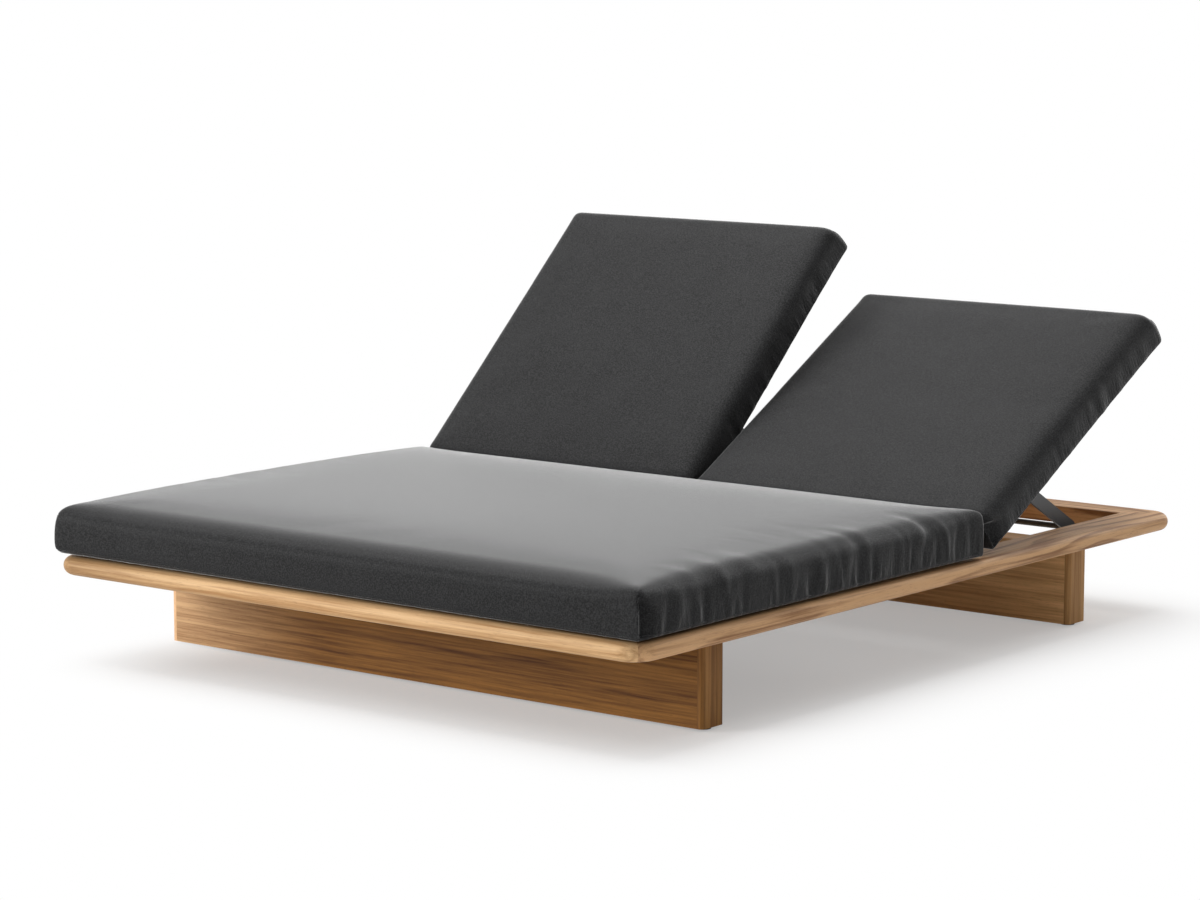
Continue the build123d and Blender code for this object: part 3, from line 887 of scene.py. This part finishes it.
    def fill(self, thing: Object, start: Array) -> None:
        """Blow the cover up with a cloth simulation and keep the result, softly limited.

        Args:
            thing: The cover.
            start: Its vertices before, in the cushion's own axes.
        """
        cloth = thing.modifiers.new("filling", "CLOTH")
        settings = {"quality": 5, "mass": 0.3, "tension_stiffness": 12.0,
                    "compression_stiffness": 12.0, "bending_stiffness": 0.6,
                    "use_pressure": True, "uniform_pressure_force": self.form.pressure}
        for name, value in settings.items():
            setattr(cloth.settings, name, value)
        cloth.settings.effector_weights.gravity = 0.0
        cloth.point_cache.frame_start = 1
        cloth.point_cache.frame_end = FILLING_FRAMES
        scene = bpy.context.scene
        for step in range(1, FILLING_FRAMES + 1):
            scene.frame_set(step)
        shaped = thing.evaluated_get(bpy.context.evaluated_depsgraph_get())
        filled = read_points(shaped)
        thing.modifiers.remove(cloth)
        scene.frame_set(1)
        moved = self.to_plane(filled) - start
        far = np.linalg.norm(moved, axis=1, keepdims=True)
        limit = self.form.swell_limit * MM
        kept = limit * np.tanh(far / limit)
        log.info("%s swells by up to %.1f mm", self.node, kept.max() / MM)
        moved *= kept / np.maximum(far, TINY)
        self.put(thing, self.fit_span(start + moved))

    def fit_span(self, place: Array) -> Array:
        """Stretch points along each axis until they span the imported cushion's box.

        The crown of the top stands a little proud of that box.

        Args:
            place: Places in the cushion's own axes.

        Returns:
            The stretched places.
        """
        low, high = place.min(axis=0), place.max(axis=0)
        top = self.half + (0.0, 0.0, self.form.proud * MM)
        return (place - low) * ((top + self.half) / (high - low)) - self.half

    def to_plane(self, points: Array) -> Array:
        """Turn world places into the cushion's own axes."""
        return points @ self.axes.T - self.middle

    def to_world(self, place: Array) -> Array:
        """Turn places in the cushion's own axes into world places."""
        return (place + self.middle) @ self.axes

    def put(self, thing: Object, place: Array) -> None:
        """Set an object's vertices from places in the cushion's own axes."""
        thing.data.vertices.foreach_set("co", self.to_world(place).ravel())
        thing.data.update()

    def gathers(self, box: Array, place: Array) -> Array:
        """How far the cover stands out or in down the two long sides.

        Each gather is a narrow bell along the side that leans and widens as it rises from the
        seam at the bottom, faded in just over that seam and out below the top. A few wide, shallow
        bells under the top edge make it billow. The left side has a share of the depth.

        Args:
            box: Box coordinates of the vertices.
            place: Their places in the cushion's own axes.

        Returns:
            Outward offsets in metres.
        """
        near_room, far_room, end_room = 50, 30, 60
        side_start, side_fade = 0.85, 0.1
        widths, widening, lean_most = (4.5, 10.0), 1.8, 34.0
        heights, sizes, inward = (0.45, 1.0), (0.3, 1.0), 1.4
        top_fade, seam_rise, seam_fade = 0.4, 0.05, 0.12
        billow_widths, billow_rise, billow_spread = (24.0, 50.0), 0.82, 0.22
        form = self.form
        rng = np.random.default_rng(self.seed)
        offset = np.zeros(len(box))
        reach = self.half[1] / MM

        def draw(low: float, high: float, count: int) -> Array:
            """Random numbers as a column."""
            return rng.uniform(low, high, count)[:, None]

        for sign, depth in ((-1, form.left_share), (1, 1.0)):
            rows = np.flatnonzero(sign * box[:, 0] > side_start)
            rise = (place[rows, 2] / self.half[2] + 1) / 2
            y = place[rows, 1] / MM
            count, wide = form.gather_count, form.gather_count // 6
            centre = draw(near_room - reach, reach - far_room, count)
            spread = draw(*widths, count) * (1 + widening * rise)
            lean = draw(-lean_most, lean_most, count)
            height = draw(*heights, count)
            size = draw(*sizes, count) * np.sign(draw(-inward, 1.0, count))
            fade = ramp(height - rise, 0, top_fade) * ramp(rise, seam_rise, seam_fade)
            folds = (size * bell(y - centre - lean * rise**2, spread) * fade).sum(axis=0)
            centre = draw(end_room - reach, reach - end_room, wide)
            spread = draw(*billow_widths, wide)
            size = draw(-1.0, 1.0, wide)
            billow = (size * bell(y - centre, spread)).sum(axis=0)
            billow *= bell(rise - billow_rise, billow_spread)
            ends = ramp(reach - np.abs(y), 0, end_room)
            flat = ramp(np.abs(box[rows, 0]), side_start, side_fade) * ends * depth
            deep = form.gather_depth * folds + form.billow_depth * billow
            offset[rows] = deep * flat * MM
        return offset

    def hollows(self, box: Array, place: Array) -> Array:
        """How deep the long sides are drawn in beside the near corner seams.

        The depth is steep next to the seam and runs out along the side, and it ends in an arch
        below the top edge. The left side has a share of the right side's depth.

        Args:
            box: Box coordinates of the vertices.
            place: Their places in the cushion's own axes.

        Returns:
            Inward offsets in metres.
        """
        seam_gap, seam_width, deep_until, run_out = 1.5, 6, 16, 24
        arch_top, arch_slope, arch_fade = 0.8, 0.004, 0.12
        bottom, bottom_fade, side_start, side_fade = 0.05, 0.1, 0.96, 0.03
        rise = (place[:, 2] / self.half[2] + 1) / 2
        away = (self.half[1] + place[:, 1]) / MM
        dip = ramp(away, seam_gap, seam_width) * bell(np.clip(away - deep_until, 0, None), run_out)
        arch = ramp(arch_top - arch_slope * away - rise, 0, arch_fade)
        arch *= ramp(rise, bottom, bottom_fade)
        share = np.where(box[:, 0] < 0, self.form.left_share, 1.0)
        side = ramp(np.abs(box[:, 0]), side_start, side_fade) * share
        return self.form.hollow_depth * MM * (dip * arch) * side

    def seam(self, name: str, path: Array, closed: bool) -> Object:
        """Round seam carried along a path on the cover.

        The profile is a circle in the plane square to the path, swept point by point.

        Args:
            name: Name of the piece.
            path: Places along it, in the cushion's own axes.
            closed: Whether the path runs back to its start.

        Returns:
            The new object.
        """
        if closed:
            forward = np.roll(path, -1, axis=0) - np.roll(path, 1, axis=0)
        else:
            forward = np.gradient(path, axis=0)
        forward /= np.linalg.norm(forward, axis=1, keepdims=True)
        lead = np.array((0.0, 0.0, 1.0)) if closed else np.array((1.0, 0.0, 0.0))
        side = np.cross(forward, lead)
        side /= np.linalg.norm(side, axis=1, keepdims=True)
        rise = np.cross(side, forward)
        turn = np.linspace(0, 2 * math.pi, SEAM_SIDES, endpoint=False)[None, :, None]
        radius = (self.form.welt_radius if closed else self.form.seam_radius) * MM
        ring = radius * (np.cos(turn) * side[:, None, :] + np.sin(turn) * rise[:, None, :])
        points = (path[:, None, :] + ring).reshape(-1, 3)
        numbers = np.arange(len(points)).reshape(len(path), SEAM_SIDES)
        if closed:
            numbers = np.vstack((numbers, numbers[:1]))
        beside = np.roll(numbers, -1, axis=1)
        quads = np.stack((numbers[:-1], beside[:-1], beside[1:], numbers[1:]), axis=-1)
        faces = quads.reshape(-1, 4).tolist()
        if not closed:
            faces += [numbers[0].tolist()[::-1], numbers[-1].tolist()]
        return self.adopt(name, self.to_world(points), faces)

    def adopt(self, name: str, points: Array, faces: list) -> Object:
        """Make a smooth mesh object in the cushion's cloth.

        Args:
            name: Name of the object.
            points: World places of the vertices.
            faces: Lists of vertex numbers.

        Returns:
            The new object.
        """
        mesh = bpy.data.meshes.new(name)
        mesh.from_pydata(points.tolist(), [], faces)
        mesh.polygons.foreach_set("use_smooth", np.ones(len(mesh.polygons), dtype=bool))
        mesh.materials.append(self.cloth)
        return new_object(name, mesh)

    def seam_paths(self, place: Array, numbers: Array) -> dict[str, tuple[Array, bool]]:
        """Lines of the grid that carry the seams.

        The welt runs one grid line over the bottom, and the upright seams end under the top.

        Args:
            place: The filled cover's vertices.
            numbers: Their numbers in the block of cells.

        Returns:
            For each seam its path and whether it is closed.
        """
        level, below_top = 1, -3
        ring = np.concatenate((numbers[:-1, 0, level], numbers[-1, :-1, level],
                               numbers[:0:-1, -1, level], numbers[0, :0:-1, level]))
        paths = {"welt": (place[ring], True)}
        for first, second, corner in ((0, 0, "near_left"), (-1, 0, "near_right"),
                                      (0, -1, "far_left"), (-1, -1, "far_right")):
            if corner in self.seam_corners:
                upright = numbers[first, second, level:below_top]
                paths[f"{corner}_seam"] = (place[upright], False)
        return paths

    def build(self) -> list[str]:
        """Make the cushion and its seams.

        Returns:
            Names of the new pieces.
        """
        self.measure()
        self.cloth = self.shop.charcoal.material(self.shop.weave)
        box, quads, numbers = self.grid()
        start = self.surface(box)
        thing = self.adopt(f"{self.node}_cover", self.to_world(start), quads.tolist())
        marks = thing.data.attributes.new("box", "FLOAT_VECTOR", "POINT")
        marks.data.foreach_set("vector", box.ravel())
        self.fill(thing, start)
        smooth = thing.modifiers.new("smooth", "SUBSURF")
        smooth.levels = smooth.render_levels = 1
        apply_modifiers(thing)
        self.drape(thing)
        pieces = [thing]
        corners = self.to_plane(read_points(thing))[: len(box)]
        for name, (path, closed) in self.seam_paths(corners, numbers).items():
            pieces.append(self.seam(f"{self.node}_{name}", path, closed))
        for piece in pieces:
            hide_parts(self.node)
            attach(piece, self.body)
        return [piece.name for piece in pieces]

    def drape(self, thing: Object) -> None:
        """Add the gathers and the hollows beside the corner seams to the smooth cover.

        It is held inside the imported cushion's span, the crown's height and the sides' room.

        Args:
            thing: The cover.
        """
        place = self.to_plane(read_points(thing))
        box = np.empty(3 * len(place), dtype=np.float32)
        thing.data.attributes["box"].data.foreach_get("vector", box)
        box = box.reshape(-1, 3).astype(float)
        past, radii = self.edge_roll(box)[1:3]
        normal = past / radii
        normal[:, 1] = 0.0
        normal /= np.maximum(np.linalg.norm(normal, axis=1, keepdims=True), TINY)
        place = self.fit_span(place)
        place[:, 0] *= 1 + self.form.side_room * MM / self.half[0]
        place += normal * self.gathers(box, place)[:, None]
        place[:, 0] -= np.sign(box[:, 0]) * self.hollows(box, place)
        room = np.array((self.form.side_room, 0.0, 0.0)) * MM
        top = self.half + room + (0.0, 0.0, self.form.proud * MM)
        self.put(thing, np.clip(place, -self.half - room, top))


def read_points(thing: Object) -> Array:
    """Read the vertices of an object.

    Args:
        thing: The object, as it is or with its modifiers.

    Returns:
        Their places, one row to a point.
    """
    points = np.empty(3 * len(thing.data.vertices))
    thing.data.vertices.foreach_get("co", points)
    return points.reshape(-1, 3)


def apply_modifiers(thing: Object) -> None:
    """Replace an object's mesh by the one that its modifiers give.

    Args:
        thing: The object.
    """
    shaped = thing.evaluated_get(bpy.context.evaluated_depsgraph_get())
    mesh = bpy.data.meshes.new_from_object(shaped)
    mesh.name = thing.name
    thing.modifiers.clear()
    thing.data = mesh


@dataclass(frozen=True)
class Lamp:
    """Soft box, with its place, the point that it faces, its size in metres and its watts."""

    name: str
    place: Triple
    target: Triple
    size: Span
    power: float

    def hang(self) -> None:
        """Make the lamp and turn it to its target."""
        data = bpy.data.lights.new(self.name, "AREA")
        data.shape = "RECTANGLE"
        data.size, data.size_y = self.size
        data.energy = self.power
        lamp = new_object(self.name, data)
        lamp.location = self.place
        facing = Vector(self.target) - Vector(self.place)
        lamp.rotation_euler = facing.to_track_quat("-Z", "Y").to_euler()


@dataclass
class Studio:
    """Pale floor, soft light and the camera of the photograph.

    The camera's angles are degrees, its lens and sensor millimetres. Round the part lies a shaded
    box of floor: shade_shift brings its middle to the origin, shade_half is half its size,
    shade_fade the width of its border and shade_white its share of plain white.
    """

    azimuth: float = 38.405
    elevation: float = 8.14
    position: Triple = (5.0720, -6.5325, 1.6177)
    lens: float = 107.1
    sensor: float = 36.0
    floor_half: float = 14.0
    floor_grey: Colour = (0.82, 0.82, 0.82, 1.0)
    shade_shift: Triple = (-0.12, 0.0, 0.0)
    shade_half: Triple = (0.58, 0.85, 0.0)
    shade_fade: float = 0.5
    shade_white: float = 0.34
    daylight: float = 0.38
    lamps: tuple[Lamp, ...] = (
        Lamp("overhead", (-0.8, 0.1, 4.4), (-0.1, 0.0, 0.2), (4.2, 4.2), 228.0),
        Lamp("front_left", (-4.6, -6.4, 2.2), (0.0, -0.6, 0.15), (2.8, 2.4), 408.0),
        Lamp("behind", (1.2, 5.8, 2.4), (0.6, 0.8, 0.3), (3.0, 2.4), 90.0))

    def build(self) -> None:
        """Set up the floor, the world, the lamps and the camera."""
        self.add_floor()
        self.add_world()
        for lamp in self.lamps:
            lamp.hang()
        self.add_camera()

    def add_floor(self) -> None:
        """Lay the floor, white far from the part and shaded round it."""
        size = self.floor_half
        mesh = bpy.data.meshes.new("floor")
        mesh.from_pydata([(-size, -size, 0), (size, -size, 0), (size, size, 0), (-size, size, 0)],
                         [], [(0, 1, 2, 3)])
        floor = new_object("floor", mesh)
        material, net, shader = blank_material("pale_floor")
        net.plug(shader, {"Base Color": self.floor_grey, "Roughness": 0.9,
                          "Specular IOR Level": 0.1})
        place = net.node("TexCoord").outputs["Object"]
        away = net.math("ADD", place, self.shade_shift, kind="VectorMath")
        away = net.math("ABSOLUTE", away, kind="VectorMath")
        past = net.math("SUBTRACT", away, self.shade_half, kind="VectorMath")
        past = net.math("MAXIMUM", past, (0.0, 0.0, 0.0), kind="VectorMath")
        far = net.node("VectorMath", {0: past}, operation="LENGTH")
        fade = net.remap(far.outputs["Value"], (0.0, self.shade_fade), (self.shade_white, 1.0))
        rays = net.node("LightPath").outputs
        shown = net.math("MAXIMUM", rays["Is Camera Ray"], rays["Is Glossy Ray"])
        share = net.math("MULTIPLY", fade, shown)
        glow = net.node("Emission", {"Color": WHITE, "Strength": 1.0})
        blend = net.node("MixShader", {0: share, 1: shader.outputs[0], 2: glow.outputs[0]})
        net.plug(net.tree.nodes["Material Output"], {"Surface": blend.outputs[0]})
        mesh.materials.append(material)

    def add_world(self) -> None:
        """Light the scene evenly and show white behind it."""
        world = bpy.data.worlds.new("studio")
        bpy.context.scene.world = world
        world.use_nodes = True
        net = Net(world.node_tree)
        plain = net.tree.nodes["Background"]
        net.plug(plain, {"Color": WHITE, "Strength": self.daylight})
        white = net.node("Background", {"Color": WHITE, "Strength": 1.0})
        rays = net.node("LightPath").outputs
        shown = net.math("MAXIMUM", rays["Is Camera Ray"], rays["Is Glossy Ray"])
        shown = net.math("MAXIMUM", shown, rays["Is Transmission Ray"])
        blend = net.node("MixShader", {0: shown, 1: plain.outputs[0], 2: white.outputs[0]})
        net.plug(net.tree.nodes["World Output"], {"Surface": blend.outputs[0]})

    def add_camera(self) -> None:
        """Stand the camera at the photograph's viewpoint."""
        turn, lift = math.radians(self.azimuth), math.radians(self.elevation)
        forward = Vector((-math.sin(turn) * math.cos(lift), math.cos(turn) * math.cos(lift),
                          -math.sin(lift)))
        data = bpy.data.cameras.new("photo_camera")
        data.lens = self.lens
        data.sensor_width = self.sensor
        data.clip_end = 100.0
        camera = new_object("photo_camera", data)
        camera.location = self.position
        camera.rotation_euler = forward.to_track_quat("-Z", "Y").to_euler()
        bpy.context.scene.camera = camera
        bpy.context.scene.view_settings.view_transform = "Standard"


def slide_direction(side: Side) -> Vector:
    """Unit vector up a back, from the joint on which its cushion slides."""
    axes = {joint["name"]: joint["axis"] for joint in frame["joints"]}
    return Vector(axes[f"{side.label}_cushion_slide"]).normalized()


def main() -> None:
    """Build the lounger's looks piece by piece."""
    shop = Workshop()
    assemblies = [Rim(shop), PanelLegs(shop), ReclineGear(shop)]
    assemblies.append(Cushion(shop, "seat_cushion", "base",
                              seam_corners=("near_left", "near_right")))
    for side in Side:
        along = slide_direction(side)
        assemblies.append(BackPanel(shop, side, along))
        assemblies.append(Cushion(shop, f"{side.label}_back_cushion", f"{side.label}_back_pad",
                                  BACK_FORM, along, seed=BACK_SEED + side.value))
    for assembly in assemblies:
        log.info("%s: %s", type(assembly).__name__, ", ".join(assembly.build()))
    Studio().build()


if __name__ == "__main__":
    main()
